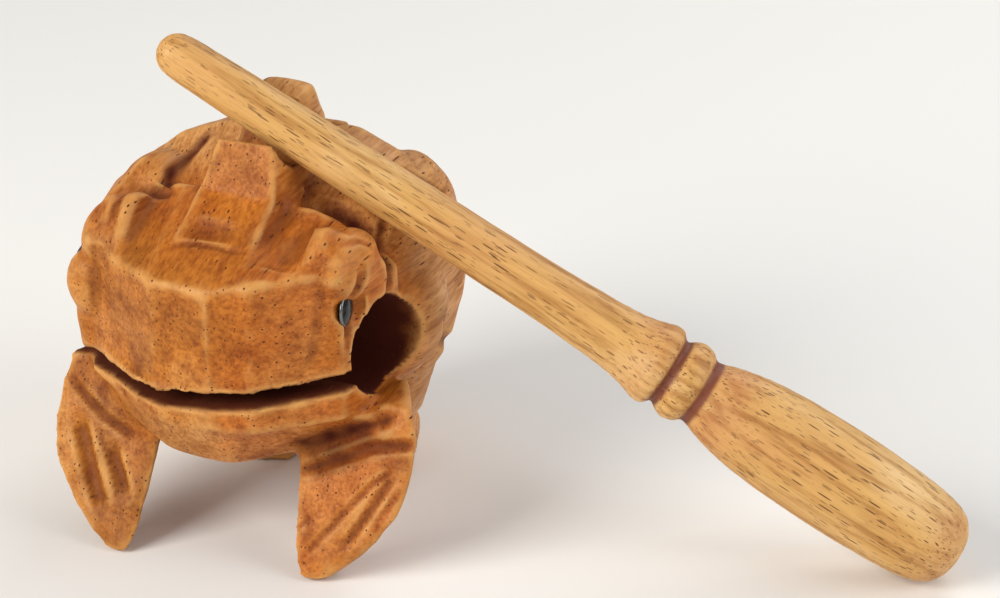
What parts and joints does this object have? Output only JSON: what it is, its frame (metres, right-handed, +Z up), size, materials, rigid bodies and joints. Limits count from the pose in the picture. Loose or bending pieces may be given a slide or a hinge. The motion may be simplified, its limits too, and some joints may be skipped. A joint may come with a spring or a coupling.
{
  "type": "guiro",
  "caption": "Carved wooden frog guiro with a notched spine, a through bore as sound chamber and a turned striker stick.",
  "frame": {"origin": "on the ground under the middle of the whole object's box, frog and striker together", "axes": "+Z up; the frog faces -Y; +X to the frog's left, which is the way the striker's handle points and the longest extent"},
  "size_m": [0.1652, 0.0826, 0.0929],
  "materials": {
    "carved_wood": "oiled hand-carved hardwood with open pores",
    "tack": "glossy dark domed tack",
    "stick_wood": "pale turned wood with dark pore lines, burnt grooves"
  },
  "bodies": {
    "frog": {"frog_body": "carved_wood", "left_eye_tack": "tack", "right_eye_tack": "tack"},
    "striker": {"striker": "stick_wood"}
  },
  "joints": [
    {"name": "striker_lift", "type": "slide", "parent": "frog", "child": "striker", "axis": [0, 0, 1], "range_m": [0, 0.1]}
  ]
}
